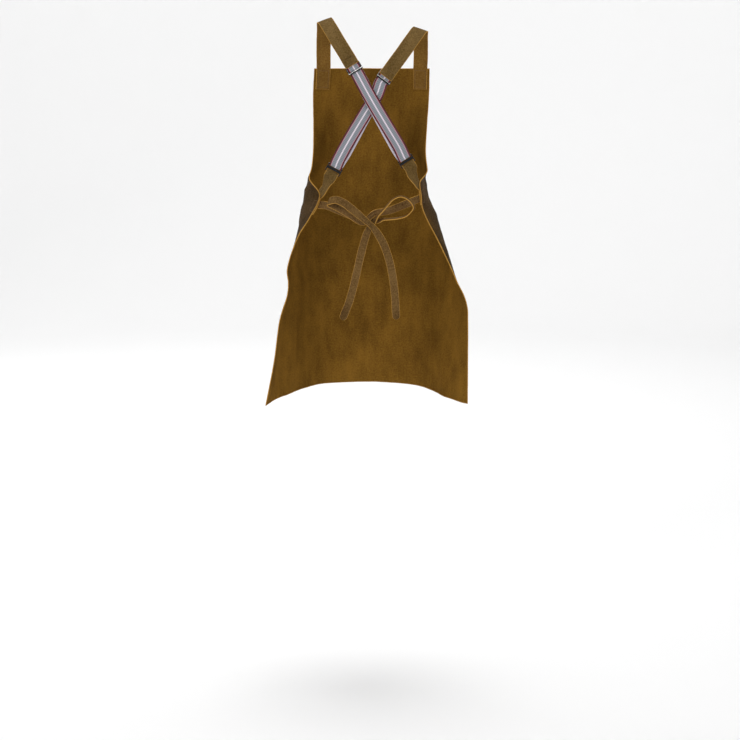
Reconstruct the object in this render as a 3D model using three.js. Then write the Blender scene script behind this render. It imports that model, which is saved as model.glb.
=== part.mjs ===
// A cross-back leather work apron in the form it has when worn, held up at the shoulders.
// Millimetres, +Z up. The back, with the crossed straps and the bow, faces -Y, and the bib faces +Y.
// The origin lies on top of the shoulders, midway between the two strap crests.
import * as THREE from "three";

// Sizes of the pieces
const PANEL_THICK = 2;
const STRAP_WIDE = 33;
const STRAP_THICK = 2.2;
const WEBBING_WIDE = 30;
const WEBBING_THICK = 1.2;
const TAB_WIDE = 29;
const TAB_WIDE_AT_EAR = 20;
const TAB_THICK = 2.2;
const TIE_WIDE = 18;
const TIE_THICK = 2;
const GAP = 0.35;
const STAND_OFF = 0.75;
const TIE_STAND_OFF = 1.25;

// Sizes of the metal fittings: a plate with two slots, listed from its upper edge down
const FITTING_THICK = 2;
const FITTING_CORNER = 1.8;
const SIDE_BAR = 1.9;
const SLIDER = { topBar: 3, topSlot: 5, middleBar: 3, lowSlot: 5, lowBar: 4, slotWide: 31.2 };
const LOOP = { topBar: 2.8, topSlot: 3.4, middleBar: 6, lowSlot: 4.4, lowBar: 2.8, slotWide: 31.6 };

// How far pieces lap each other where they are sewn
const STRAP_LAP_ON_BIB = 48;
const STRAP_FROM_EDGE = 5;
const WEBBING_LAP_ON_STRAP = 22;
const TAB_FOLD_BACK = 9;
const TAB_FOLD_ASIDE = 1;
const TAB_LAP_ON_EAR = 39;
const TAB_FROM_EDGE = 1;
const TIE_LAP_ON_EAR = 26;

// Finishes of the five materials
const LEATHER = { color: 0x644f32, roughness: 0.62, metalness: 0 };
const ELASTIC = { color: 0x787d84, roughness: 0.85, metalness: 0 };
const DARK_METAL = { color: 0x1a1a1c, roughness: 0.3, metalness: 0.9 };

// Turns rows of numbers into rows with named columns.
function table(names, rows) {
  const columns = names.split(" ");
  return rows.map((row) => Object.fromEntries(columns.map((name, i) => [name, row[i]])));
}

// The panel's middle line down the front: drop is the distance below the shoulders.
const FRONT = table("drop x y", [
  [100, 0, 96],
  [160, -1, 121],
  [230, -3, 137],
  [310, -6, 128],
  [390, -8, 115],
  [470, -9, 121],
  [560, -10, 132],
  [700, -12, 143],
  [870, -12, 150],
]);

// The panel's two side edges. out is sideways from the middle plane, turn is the angle in degrees by which
// the leather still heads outwards there, and the reaches say how far it keeps its heading at either end.
const EDGE_COLUMNS = "drop out y turn front_reach edge_reach";
const LEFT_EDGE = table(EDGE_COLUMNS, [
  [100, 134, 84, 78, 45, 45],
  [160, 137, 84, 66, 55, 50],
  [230, 136, 66, 46, 72, 52],
  [290, 136, 34, 24, 92, 60],
  [325, 139, 8, 6, 115, 70],
  [347, 144, -6, -8, 138, 82],
  [362, 133, -25, -20, 158, 96],
  [377, 119, -45, -30, 178, 108],
  [400, 123, -47, -31, 182, 110],
  [425, 137, -50, -27, 178, 108],
  [452, 153, -52, -18, 166, 104],
  [476, 169, -54, -8, 152, 100],
  [521, 186, -58, 2, 130, 100],
  [545, 194, -60, 4, 130, 100],
  [598, 191, -62, 0, 130, 100],
  [619, 197, -64, 3, 132, 100],
  [669, 212, -66, 9, 135, 105],
  [761, 225, -70, 12, 140, 108],
  [868, 246, -75, 17, 145, 110],
]);
const RIGHT_EDGE = table(EDGE_COLUMNS, [
  [100, 134, 84, 78, 45, 45],
  [160, 133, 82, 66, 55, 50],
  [230, 128, 62, 46, 70, 50],
  [290, 124, 28, 22, 92, 58],
  [318, 126, 2, 4, 116, 64],
  [329, 127, -11, -2, 130, 70],
  [341, 119, -29, -9, 148, 78],
  [352, 109, -45, -16, 158, 84],
  [386, 112, -47, -20, 161, 92],
  [409, 114, -49, -26, 168, 98],
  [441, 127, -52, -29, 170, 100],
  [480, 148, -55, -23, 164, 100],
  [546, 180, -58, -12, 150, 100],
  [588, 199, -60, 2, 140, 96],
  [620, 215, -61, 18, 145, 88],
  [648, 220, -60, 27, 150, 80],
  [760, 222, -53, 43, 175, 66],
  [868, 223, -45, 56, 198, 58],
]);

// Soft folds in the skirt: where each lies, how far down it starts and is full, and how high it stands.
const FOLDS = table("side share spread start full height", [
  [-1, 0.3, 0.1, 480, 860, 7],
  [-1, 0.66, 0.1, 430, 700, -5],
  [1, 0.26, 0.1, 500, 860, 6],
  [1, 0.58, 0.1, 450, 720, -5],
]);
const HEM_RISE_IN_FRONT = 14;
const HEM_RISE_START = 560;
const HEM_RISE_REACH = { left: 1.25, right: 0.6 };
const BIB_TOP = FRONT[0].drop;
const HEM = LEFT_EDGE.at(-1).drop;
const PANEL_LEVELS = table("to steps", [
  [310, 9],
  [440, 13],
  [HEM, 15],
]);
const PANEL_COLUMNS_A_SIDE = 19;

// The shoulder straps' free length, from above the bib over the crest to the end on the back.
const ROUTE_COLUMNS = "x y z ax ay az";
const SHOULDER_ROUTES = {
  left: table(ROUTE_COLUMNS, [
    [-112, 79, -62, 0.98, 0, 0.18],
    [-110, 46, -12, 0.96, 0, 0.28],
    [-108, 4, 9, 0.94, 0, 0.34],
    [-91, -40, -14, 0.92, -0.1, 0.38],
    [-75, -65, -40, 0.9, -0.1, 0.42],
    [-59, -82, -65, 0.9, -0.08, 0.42],
    [-43.6, -91, -90.6, 0.9, -0.05, 0.42],
  ]),
  right: table(ROUTE_COLUMNS, [
    [113, 79, -74, 0.98, 0, -0.18],
    [112, 46, -28, 0.96, 0, -0.26],
    [110, 4, -11, 0.95, 0, -0.31],
    [89, -40, -36, 0.91, 0.1, -0.42],
    [69, -65, -63, 0.87, 0.1, -0.48],
    [49, -82, -89.5, 0.86, 0.08, -0.5],
    [29.5, -91, -116, 0.86, 0.05, -0.5],
  ]),
};

// The webbing between slider and loop, with the left shoulder's lying on top where they cross.
const WEBBING_ROUTES = {
  left: table(ROUTE_COLUMNS, [
    [-13.4, -101, -143.8, 0.87, 0, 0.49],
    [7.1, -104, -179.6, 0.87, 0, 0.49],
    [36.6, -100, -228.9, 0.87, 0, 0.5],
    [61.6, -90, -271.1, 0.85, 0.03, 0.53],
  ]),
  right: table(ROUTE_COLUMNS, [
    [11.1, -95, -153.2, 0.87, 0, -0.49],
    [-12.7, -95.5, -191.4, 0.87, 0, -0.5],
    [-40.2, -93, -236.6, 0.87, 0, -0.5],
    [-63, -86, -276, 0.87, -0.03, -0.5],
  ]),
};
const WEBBING_ASIDE = 1.2;
const REAR_LAYER = table("behind aside", [
  [3, 0],
  [3, 1],
  [5, 3.5],
  [6, 5],
]);

// Where the fittings sit: middle point, then the directions down the strap and across it.
const FITTING_COLUMNS = "x y z dx dy dz ax ay az";
const SLIDER_REACH = { left: 14, right: 7 };
const LOOP_PLACES = {
  left: table(FITTING_COLUMNS, [[-85.6, -78, -321.5, -0.47, 0.24, -0.85, 0.87, 0.02, -0.49]])[0],
  right: table(FITTING_COLUMNS, [[77.5, -78, -302.5, 0.53, 0.24, -0.81, 0.83, -0.02, 0.56]])[0],
};

// The tabs between loop and ear, turning from face-on to edge-on.
const BAND_COLUMNS = "x y z ax ay az width";
const TAB_ROUTES = {
  left: table(BAND_COLUMNS, [
    [-99, -69, -345, 0.76, -0.55, -0.33, 29],
    [-109, -58, -368, 0.5, -0.85, -0.16, 23],
  ]),
  right: table(BAND_COLUMNS, [
    [91.3, -66.5, -332, 0.77, 0.5, 0.39, 27.5],
    [101.5, -54, -352, 0.42, 0.88, 0.2, 24],
  ]),
};
const EARS = {
  left: { tab_bottom: 424, tie_drop: 402, tie_slope: 0.1 },
  right: { tab_bottom: 404, tie_drop: 390, tie_slope: 0.1 },
};

// The ties from the ears to the bow, round a loop each and down a tail. width shrinks where the knot pinches.
const TIE_ROUTES = {
  left: table(BAND_COLUMNS, [
    [-104, -63, -404, 0, 0, 1, 18],
    [-72, -80, -415, 0.2, 0, 1, 18],
    [-40, -86, -427, 0.3, 0, 1, 17],
    [-18, -88, -432, 0.2, 0, 1, 14],
    [0, -89, -435, 0, 0.1, 1, 12],
    [14, -95, -437, 0, 0.7, 0.7, 12],
    [28, -106, -431.5, 0.1, 1, 0.25, 15],
    [42, -109, -429.8, 0.12, 1, 0.16, 17],
    [59, -109, -427.8, 0.12, 1, 0.14, 18],
    [76, -109, -423.3, 0.15, 1, 0.12, 18],
    [87.3, -109, -414.8, 0.2, 1, 0.06, 18],
    [94, -109, -404.5, 0.22, 1, 0, 18],
    [87.2, -109, -391.7, 0.2, 1, 0.04, 18],
    [76, -109, -382.7, 0.14, 1, 0.07, 18],
    [63, -109, -379.6, 0.05, 1, 0.1, 18],
    [47.7, -110, -385.6, -0.03, 1, 0.1, 18],
    [35, -110, -398.6, -0.08, 1, 0.1, 17],
    [24, -109, -411.5, -0.1, 1, 0.1, 16],
    [15.5, -107, -421, -0.12, 1, 0.12, 14],
    [10.5, -103.5, -429, -0.22, 0.95, 0.2, 12],
    [6, -98.5, -436, -0.5, 0.8, 0.3, 10.5],
    [0.5, -95, -443.4, -0.85, 0.4, 0.3, 10.5],
    [-5.5, -94.5, -451, -0.95, 0, 0.3, 14],
    [-11, -97.5, -461.5, -0.96, 0, 0.29, 17],
    [-22.5, -109, -499, -0.97, 0, 0.25, 18],
    [-35.5, -118, -555, -0.97, 0, 0.24, 18],
    [-50, -124, -611, -0.96, 0, 0.27, 18],
    [-67.5, -127, -657, -0.95, 0, 0.31, 18],
  ]),
  right: table(BAND_COLUMNS, [
    [96, -61, -393, 0, 0, 1, 18],
    [75, -75, -400.5, -0.2, 0, 1, 18],
    [36, -86, -414, -0.3, 0, 1, 17],
    [18, -90.5, -416.5, -0.2, 0, 1, 16],
    [6, -95, -418, -0.4, 0, 0.9, 14],
    [-3, -97, -424.5, -0.75, 0, 0.65, 13],
    [-11.5, -96.3, -433.5, -0.7, 0, 0.7, 12],
    [-19.5, -95.3, -440, -0.35, 0, 0.93, 12],
    [-29, -95.5, -437.5, 0.2, 0.1, 0.95, 13],
    [-42, -96, -427.5, 0.4, 0.25, 0.87, 16],
    [-62, -96, -413.5, 0.42, 0.3, 0.85, 18],
    [-83, -97, -402, 0.4, 0.4, 0.82, 18],
    [-94, -99, -396.5, 0.35, 0.45, 0.82, 18],
    [-98, -103.5, -393, 0.3, 0.45, 0.84, 18],
    [-93, -108.5, -389.5, 0.25, 0.45, 0.86, 18],
    [-81, -110.5, -387, 0.25, 0.45, 0.86, 18],
    [-62.5, -110, -394.5, 0.45, 0.35, 0.82, 18],
    [-47, -108, -406.5, 0.55, 0.25, 0.8, 18],
    [-30, -105.5, -420.5, 0.6, 0.15, 0.78, 17],
    [-20, -102.8, -429.5, 0.64, 0.05, 0.77, 15],
    [-10, -101.8, -438, 0.68, 0, 0.73, 13.5],
    [-0.5, -102.3, -447, 0.74, 0, 0.67, 14],
    [8.5, -104.3, -457.5, 0.82, 0, 0.57, 16.5],
    [17.5, -107, -471, 0.87, 0, 0.5, 18],
    [27, -111, -488, 0.9, 0, 0.43, 18],
    [41.5, -118, -533, 0.96, 0, 0.27, 18],
    [50.5, -123, -589, 0.99, 0, 0.12, 18],
    [55, -127, -656, 1, 0, 0.03, 18],
  ]),
};
const STEP = { strap: 12, webbing: 16, tab: 8, tie: 8 };
const TIP_STEPS = 5;
const TIP_SWEEP = 0.47 * Math.PI;

// A column's value anywhere along a table, on a smooth curve through its rows.
function read(rows, by, place, column) {
  const last = rows.length - 1;
  let i = 0;
  while (i < last - 1 && place > rows[i + 1][by]) i += 1;
  const slope = (k) => {
    const before = rows[Math.max(k - 1, 0)];
    const after = rows[Math.min(k + 1, last)];
    return (after[column] - before[column]) / (after[by] - before[by]);
  };
  const span = rows[i + 1][by] - rows[i][by];
  const t = THREE.MathUtils.clamp((place - rows[i][by]) / span, 0, 1);
  const rise = rows[i + 1][column] - rows[i][column];
  const ease = t * t * (3 - 2 * t);
  const leave = t * (1 - t) * (1 - t) * slope(i) * span;
  const arrive = t * t * (t - 1) * slope(i + 1) * span;
  return rows[i][column] + rise * ease + leave + arrive;
}

// A point on the panel's middle surface: share runs from 0 at the front to 1 at the side edge.
function panelPoint(side, share, drop) {
  const edges = side < 0 ? LEFT_EDGE : RIGHT_EDGE;
  const edge = (column) => read(edges, "drop", drop, column);
  const turn = THREE.MathUtils.degToRad(edge("turn"));
  const start = new THREE.Vector2(read(FRONT, "drop", drop, "x"), read(FRONT, "drop", drop, "y"));
  const end = new THREE.Vector2(side * edge("out"), edge("y"));
  const leave = new THREE.Vector2(start.x + side * edge("front_reach"), start.y);
  const back = edge("edge_reach");
  const arrive = new THREE.Vector2(end.x - side * Math.sin(turn) * back, end.y + Math.cos(turn) * back);
  const plan = new THREE.CubicBezierCurve(start, leave, arrive, end).getPoint(share);
  const rise = HEM_RISE_IN_FRONT * THREE.MathUtils.smoothstep(drop, HEM_RISE_START, HEM);
  const near = 1 - Math.min(1, share / (side < 0 ? HEM_RISE_REACH.left : HEM_RISE_REACH.right)) ** 2;
  return new THREE.Vector3(plan.x, plan.y, -drop + rise * near * near);
}

// The panel's outward direction and the direction along it towards its edge, at one place.
function panelFrame(side, share, drop) {
  const step = 0.01;
  const stepDown = 2;
  const near = THREE.MathUtils.clamp(share, step, 1 - step);
  const along = panelPoint(side, near + step, drop).sub(panelPoint(side, near - step, drop)).normalize();
  const down = panelPoint(side, near, drop + stepDown)
    .sub(panelPoint(side, near, drop - stepDown))
    .normalize();
  const out = new THREE.Vector3().crossVectors(along, down).multiplyScalar(side).normalize();
  return { point: panelPoint(side, share, drop), along, down, out };
}

// How high the folds stand off the smooth panel at one place.
function foldHeight(side, share, drop) {
  return FOLDS.reduce((sum, fold) => {
    const apart = (side * share - fold.side * fold.share) / fold.spread;
    const depth = THREE.MathUtils.smoothstep(drop, fold.start, fold.full);
    return sum + fold.height * depth * Math.exp(-apart * apart);
  }, 0);
}

// The share of the panel's width at which its side edge is a given distance away along the leather.
function shareFromEdge(side, drop, distance) {
  const step = 0.002;
  let share = 1;
  let walked = 0;
  while (walked < distance) {
    walked += panelPoint(side, share, drop).distanceTo(panelPoint(side, share - step, drop));
    share -= step;
  }
  return share;
}

// A mesh geometry from points and triangles, turned to face outwards.
function closedGeometry(points, triangles) {
  const volume = triangles.reduce((sum, [a, b, c]) => {
    const normal = new THREE.Vector3().crossVectors(points[b], points[c]);
    return sum + points[a].dot(normal);
  }, 0);
  const facing = volume > 0 ? triangles : triangles.map(([a, b, c]) => [a, c, b]);
  const geometry = new THREE.BufferGeometry().setFromPoints(points);
  geometry.setIndex(facing.flat());
  geometry.computeVertexNormals();
  return geometry;
}

// A closed solid through rings of points. Each ring runs along one face and comes back along the other, so
// that its two ends are closed by a strip between the faces. Both faces are split along the same diagonals.
function ringSolid(rings) {
  const count = rings[0].length;
  const triangles = [];
  for (let i = 0; i + 1 < rings.length; i += 1) {
    for (let k = 0; k < count; k += 1) {
      const a = i * count + k;
      const b = i * count + ((k + 1) % count);
      if (k < count / 2) triangles.push([a, b, a + count], [b, b + count, a + count]);
      else triangles.push([a, b, b + count], [a, b + count, a + count]);
    }
  }
  const last = (rings.length - 1) * count;
  for (let k = 0; k + 1 < count / 2; k += 1) {
    const over = count - 1 - k;
    triangles.push([k, over, k + 1], [k + 1, over, over - 1]);
    triangles.push([last + k, last + k + 1, last + over], [last + k + 1, last + over - 1, last + over]);
  }
  return closedGeometry(rings.flat(), triangles);
}

// The panel: a wall of even thickness on a grid of levels and columns.
function panelGeometry() {
  const drops = [BIB_TOP];
  for (const level of PANEL_LEVELS) {
    const from = drops.at(-1);
    for (let k = 1; k <= level.steps; k += 1) drops.push(from + ((level.to - from) * k) / level.steps);
  }
  const rings = drops.map((drop) => {
    const outside = [];
    const inside = [];
    for (let k = -PANEL_COLUMNS_A_SIDE; k <= PANEL_COLUMNS_A_SIDE; k += 1) {
      const side = k < 0 ? -1 : 1;
      const share = Math.abs(k) / PANEL_COLUMNS_A_SIDE;
      const { point, out } = panelFrame(side, share, drop);
      point.addScaledVector(out, foldHeight(side, share, drop));
      outside.push(point.clone().addScaledVector(out, PANEL_THICK / 2));
      inside.push(point.clone().addScaledVector(out, -PANEL_THICK / 2));
    }
    return outside.concat(inside.reverse());
  });
  return ringSolid(rings);
}

// Places along a smooth band: its middle, the way along, the way across and the way its face looks.
function bandPlaces(rows, step) {
  const vectors = (names) => rows.map((row) => new THREE.Vector3(...names.map((name) => row[name])));
  const middle = new THREE.CatmullRomCurve3(vectors(["x", "y", "z"]));
  const sideways = new THREE.CatmullRomCurve3(vectors(["ax", "ay", "az"]));
  const spans = rows.length - 1;
  const places = [];
  for (let i = 0; i < spans; i += 1) {
    const chord = middle.points[i].distanceTo(middle.points[i + 1]);
    const pieces = Math.ceil(chord / step);
    for (let k = 0; k < pieces + (i === spans - 1 ? 1 : 0); k += 1) {
      const t = (i + k / pieces) / spans;
      const width = THREE.MathUtils.lerp(rows[i].width, rows[i + 1].width, k / pieces);
      const along = middle.getTangent(t);
      const across = sideways.getPoint(t);
      across.addScaledVector(along, -across.dot(along)).normalize();
      const face = new THREE.Vector3().crossVectors(along, across);
      places.push({ point: middle.getPoint(t), along, across, face, width });
    }
  }
  return places;
}

// A flat band of leather or webbing along a route.
function bandGeometry(rows, thickness, step) {
  const corners = [[1, 1], [-1, 1], [-1, -1], [1, -1]];
  const rings = bandPlaces(rows, step).map(({ point, across, face, width }) =>
    corners.map(([u, v]) =>
      point.clone().addScaledVector(across, (u * width) / 2).addScaledVector(face, (v * thickness) / 2)));
  return ringSolid(rings);
}

// Rows of a route get one width where the table has none.
const withWidth = (rows, width) => rows.map((row) => ({ ...row, width }));

// A route's row from a point and the way across.
function rowAt(point, across, width) {
  return { x: point.x, y: point.y, z: point.z, ax: across.x, ay: across.y, az: across.z, width };
}

// The last row of a route becomes a round tip as wide as the band.
function withRoundTip(rows) {
  const end = rows.at(-1);
  const tip = new THREE.Vector3(end.x, end.y, end.z);
  const before = rows.at(-2);
  const along = tip.clone().sub(new THREE.Vector3(before.x, before.y, before.z)).normalize();
  const across = new THREE.Vector3(end.ax, end.ay, end.az);
  const rounded = rows.slice(0, -1);
  for (let k = 0; k <= TIP_STEPS; k += 1) {
    const angle = (TIP_SWEEP * k) / TIP_STEPS;
    const back = (end.width / 2) * (1 - Math.sin(angle));
    rounded.push(rowAt(tip.clone().addScaledVector(along, -back), across, end.width * Math.cos(angle)));
  }
  return rounded;
}

// A fitting's own axes: across the strap, down the strap, and out from the back.
function fittingFrame(point, drift, across) {
  const down = new THREE.Vector3(...drift).normalize();
  const side = new THREE.Vector3(...across);
  side.addScaledVector(down, -side.dot(down)).normalize();
  const out = new THREE.Vector3().crossVectors(down, side);
  const at = (along, lift, aside = 0) =>
    point.clone().addScaledVector(down, along).addScaledVector(out, lift).addScaledVector(side, aside);
  return { point, down, side, out, at };
}

// Distances from a fitting's middle bar to its outer bars, measured down the strap.
function barPlaces(fitting) {
  const half = fitting.middleBar / 2;
  return {
    top: -(half + fitting.topSlot + fitting.topBar / 2),
    low: half + fitting.lowSlot + fitting.lowBar / 2,
  };
}

// A band's turn round a bar, from in front of it to behind: places past the bar and out from it.
function turnRoundBar(barHigh, thickness) {
  const out = FITTING_THICK / 2 + 2 * GAP + thickness / 2;
  const past = barHigh / 2 + 2 * GAP + thickness / 2;
  const corner = 0.76;
  const straight = 10;
  const bendFrom = 1;
  const front = [[-straight, out], [-bendFrom, out], [past * corner, out * corner]];
  const rear = front.toReversed().map(([along, lift]) => [along, -lift]);
  return [...front, [past, 0], ...rear];
}

// A plate with rounded corners and two slots, lying in its own frame with the middle bar at the origin.
function fittingGeometry(fitting) {
  const { topBar, topSlot, middleBar, lowSlot, lowBar, slotWide } = fitting;
  const half = slotWide / 2 + SIDE_BAR;
  const top = middleBar / 2 + topSlot + topBar;
  const low = -(middleBar / 2 + lowSlot + lowBar);
  const r = FITTING_CORNER;
  const plate = new THREE.Shape();
  plate.absarc(half - r, low + r, r, -Math.PI / 2, 0);
  plate.absarc(half - r, top - r, r, 0, Math.PI / 2);
  plate.absarc(-half + r, top - r, r, Math.PI / 2, Math.PI);
  plate.absarc(-half + r, low + r, r, Math.PI, Math.PI * 1.5);
  const slot = (from, to) => {
    const hole = new THREE.Path();
    hole.moveTo(-slotWide / 2, from).lineTo(slotWide / 2, from).lineTo(slotWide / 2, to);
    hole.lineTo(-slotWide / 2, to).closePath();
    plate.holes.push(hole);
  };
  slot(middleBar / 2, middleBar / 2 + topSlot);
  slot(-middleBar / 2 - lowSlot, -middleBar / 2);
  const extrusion = { depth: FITTING_THICK, bevelEnabled: false, curveSegments: 4 };
  return new THREE.ExtrudeGeometry(plate, extrusion).translate(0, 0, -FITTING_THICK / 2);
}

const apron = new THREE.Group();

// Adds one named piece with its own finish.
function addPiece(name, geometry, finish) {
  const mesh = new THREE.Mesh(geometry, new THREE.MeshStandardMaterial(finish));
  mesh.name = name;
  apron.add(mesh);
  return mesh;
}

// Adds a fitting turned into its frame.
function addFitting(name, fitting, frame) {
  const mesh = addPiece(name, fittingGeometry(fitting), DARK_METAL);
  const up = frame.down.clone().negate();
  mesh.quaternion.setFromRotationMatrix(new THREE.Matrix4().makeBasis(frame.side, up, frame.out));
  mesh.position.copy(frame.point);
}

// The shoulder strap starts inside the bib's top corner and runs over the shoulder to its end on the back.
function shoulderRows(name) {
  const side = name === "left" ? -1 : 1;
  const rows = withWidth(SHOULDER_ROUTES[name], STRAP_WIDE);
  const inset = PANEL_THICK / 2 + GAP + STRAP_THICK / 2 + STAND_OFF;
  const sewn = [STRAP_LAP_ON_BIB, STRAP_LAP_ON_BIB / 2, 0].map((below) => {
    const drop = BIB_TOP + below;
    const share = shareFromEdge(side, drop, STRAP_WIDE / 2 + STRAP_FROM_EDGE);
    const { point, along, out } = panelFrame(side, share, drop);
    return rowAt(point.addScaledVector(out, -inset), along.multiplyScalar(side), STRAP_WIDE);
  });
  return sewn.concat(rows);
}

// The slider lies in line with the strap's end, behind it by the webbing between them.
function sliderFrame(name, strapEnd) {
  const behind = FITTING_THICK / 2 + 2 * GAP + WEBBING_THICK + GAP + STRAP_THICK / 2;
  const below = SLIDER_REACH[name] - barPlaces(SLIDER).low;
  const middle = strapEnd.point.clone().addScaledVector(strapEnd.along, below);
  middle.addScaledVector(strapEnd.face, -behind);
  return fittingFrame(middle, strapEnd.along.toArray(), strapEnd.across.toArray());
}

// One webbing strip: sewn under the strap's end, over the slider's bars and behind its low bar, down to the
// loop, round its top bar and back up behind itself to the slider.
function webbingRows(name, strapPlaces, slider, loop) {
  const half = WEBBING_THICK / 2;
  const under = STRAP_THICK / 2 + GAP + half;
  const rows = [];
  const end = strapPlaces.at(-1);
  let walked = 0;
  for (let i = strapPlaces.length - 1; i > 0 && walked < WEBBING_LAP_ON_STRAP; i -= 1) {
    const { point, across, face } = strapPlaces[i];
    walked = end.point.distanceTo(point);
    rows.unshift(rowAt(point.clone().addScaledVector(face, -under), across, WEBBING_WIDE));
  }
  const lift = FITTING_THICK / 2 + 2 * GAP + half;
  const bars = barPlaces(SLIDER);
  const edge = SLIDER.middleBar / 2;
  const pastBar = bars.low + 1;
  const clearOfBar = bars.low + 8;
  const strapEnd = bars.low - SLIDER_REACH[name];
  const weave = [[-edge, lift], [edge, lift], [edge + SLIDER.lowSlot, -lift], [pastBar, -lift]];
  for (const [along, out] of weave.filter(([place]) => place > strapEnd)) {
    rows.push(rowAt(slider.at(along, out), slider.side, WEBBING_WIDE));
  }
  rows.push(rowAt(slider.at(clearOfBar, -lift / 2), slider.side, WEBBING_WIDE));
  const front = withWidth(WEBBING_ROUTES[name], WEBBING_WIDE);
  rows.push(...front);
  const bar = barPlaces(LOOP).top;
  const inward = name === "left" ? -1 : 1;
  turnRoundBar(LOOP.topBar, WEBBING_THICK).forEach(([along, out], i, turn) => {
    const shift = i === 0 ? -WEBBING_ASIDE : i === turn.length - 1 ? WEBBING_ASIDE : 0;
    rows.push(rowAt(loop.at(bar + along, out, shift * inward), loop.side, WEBBING_WIDE));
  });
  REAR_LAYER.toReversed().forEach((layer, i) => {
    const ahead = front[front.length - 1 - i];
    const across = new THREE.Vector3(ahead.ax, ahead.ay, ahead.az);
    const point = new THREE.Vector3(ahead.x, ahead.y + layer.behind, ahead.z);
    rows.push(rowAt(point.addScaledVector(across, layer.aside * inward), across, WEBBING_WIDE));
  });
  const rear = lift + WEBBING_THICK + GAP;
  for (const along of [clearOfBar, bars.low, 0]) {
    rows.push(rowAt(slider.at(along, -rear), slider.side, WEBBING_WIDE));
  }
  return rows;
}

// One tab: its folded end behind, up round the loop's low bar, and down in front to the inside of the ear.
function tabRows(name, loop) {
  const side = name === "left" ? -1 : 1;
  const ear = EARS[name];
  const bar = barPlaces(LOOP).low;
  const turn = turnRoundBar(LOOP.lowBar, TAB_THICK).toReversed();
  turn[0][0] = -TAB_FOLD_BACK;
  const rows = turn.map(([along, out], i) => {
    const aside = i === 0 ? -side * TAB_FOLD_ASIDE : 0;
    return rowAt(loop.at(bar - along, out, aside), loop.side, TAB_WIDE);
  });
  rows.push(...TAB_ROUTES[name]);
  const inset = PANEL_THICK / 2 + GAP + TAB_THICK / 2 + STAND_OFF;
  for (const above of [1, 2 / 3, 1 / 3, 0]) {
    const drop = ear.tab_bottom - above * TAB_LAP_ON_EAR;
    const share = shareFromEdge(side, drop, TAB_WIDE_AT_EAR / 2 + TAB_FROM_EDGE);
    const { point, along, out } = panelFrame(side, share, drop);
    rows.push(rowAt(point.addScaledVector(out, -inset), along.multiplyScalar(-side), TAB_WIDE_AT_EAR));
  }
  return rows;
}

// One tie: sewn inside the ear over the tab, then along its own route to the round tip of its tail.
function tieRows(name) {
  const side = name === "left" ? -1 : 1;
  const ear = EARS[name];
  const inset = PANEL_THICK / 2 + TAB_THICK + TIE_THICK / 2 + 2 * GAP + TIE_STAND_OFF;
  const sewn = [TIE_LAP_ON_EAR, TIE_LAP_ON_EAR / 2, 0].map((fromEdge) => {
    const drop = ear.tie_drop - ear.tie_slope * fromEdge;
    const { point, down, out } = panelFrame(side, shareFromEdge(side, drop, fromEdge), drop);
    return rowAt(point.addScaledVector(out, -inset), down.negate(), TIE_WIDE);
  });
  return withRoundTip(sewn.concat(TIE_ROUTES[name]));
}

addPiece("apron_panel", panelGeometry(), LEATHER);

const loops = {};
for (const name of ["left", "right"]) {
  const { x, y, z, dx, dy, dz, ax, ay, az } = LOOP_PLACES[name];
  loops[name] = fittingFrame(new THREE.Vector3(x, y, z), [dx, dy, dz], [ax, ay, az]);
  addFitting(`strap_loop_${name}`, LOOP, loops[name]);
}

for (const name of ["left", "right"]) {
  const strap = shoulderRows(name);
  addPiece(`shoulder_strap_${name}`, bandGeometry(strap, STRAP_THICK, STEP.strap), LEATHER);
  const places = bandPlaces(strap, STEP.strap);
  const slider = sliderFrame(name, places.at(-1));
  addFitting(`strap_slider_${name}`, SLIDER, slider);
  const webbing = webbingRows(name, places, slider, loops[name === "left" ? "right" : "left"]);
  addPiece(`back_webbing_${name}`, bandGeometry(webbing, WEBBING_THICK, STEP.webbing), ELASTIC);
  addPiece(`side_tab_${name}`, bandGeometry(tabRows(name, loops[name]), TAB_THICK, STEP.tab), LEATHER);
  addPiece(`waist_tie_${name}`, bandGeometry(tieRows(name), TIE_THICK, STEP.tie), LEATHER);
}

export default apron;
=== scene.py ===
# %% [markdown]
# # A cross-back leather apron
#
# The apron is one big sheet of oiled leather with two leather shoulder straps, two striped elastic bands that
# cross on the back, four dark metal fittings, two small tabs and a pair of ties in a bow.
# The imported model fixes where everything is. This lesson keeps every place and size of that model and gives
# the pieces their soft surfaces, raw edges, stitches and finishes.
# Everything is in metres. The back faces -Y, the bib faces +Y, and the origin lies on top of the shoulders.

# %% Load the frame
import math
import bmesh
import bpy
import numpy as np
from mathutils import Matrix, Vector, noise
from mathutils.bvhtree import BVHTree


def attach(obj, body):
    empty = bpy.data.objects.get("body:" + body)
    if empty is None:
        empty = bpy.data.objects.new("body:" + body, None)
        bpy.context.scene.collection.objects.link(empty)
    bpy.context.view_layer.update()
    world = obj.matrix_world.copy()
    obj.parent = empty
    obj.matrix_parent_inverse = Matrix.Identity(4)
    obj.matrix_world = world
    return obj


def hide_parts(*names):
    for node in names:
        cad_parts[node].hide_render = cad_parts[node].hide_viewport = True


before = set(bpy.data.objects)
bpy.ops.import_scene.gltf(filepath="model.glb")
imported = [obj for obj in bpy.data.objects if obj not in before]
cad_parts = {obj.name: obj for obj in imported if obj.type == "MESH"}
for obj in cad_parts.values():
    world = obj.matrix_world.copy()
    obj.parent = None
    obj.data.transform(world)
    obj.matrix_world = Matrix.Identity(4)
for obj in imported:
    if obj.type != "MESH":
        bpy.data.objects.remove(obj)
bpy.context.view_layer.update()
scene = bpy.context.scene
MM = 0.001
print("nodes:", ", ".join(sorted(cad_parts)))

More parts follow.
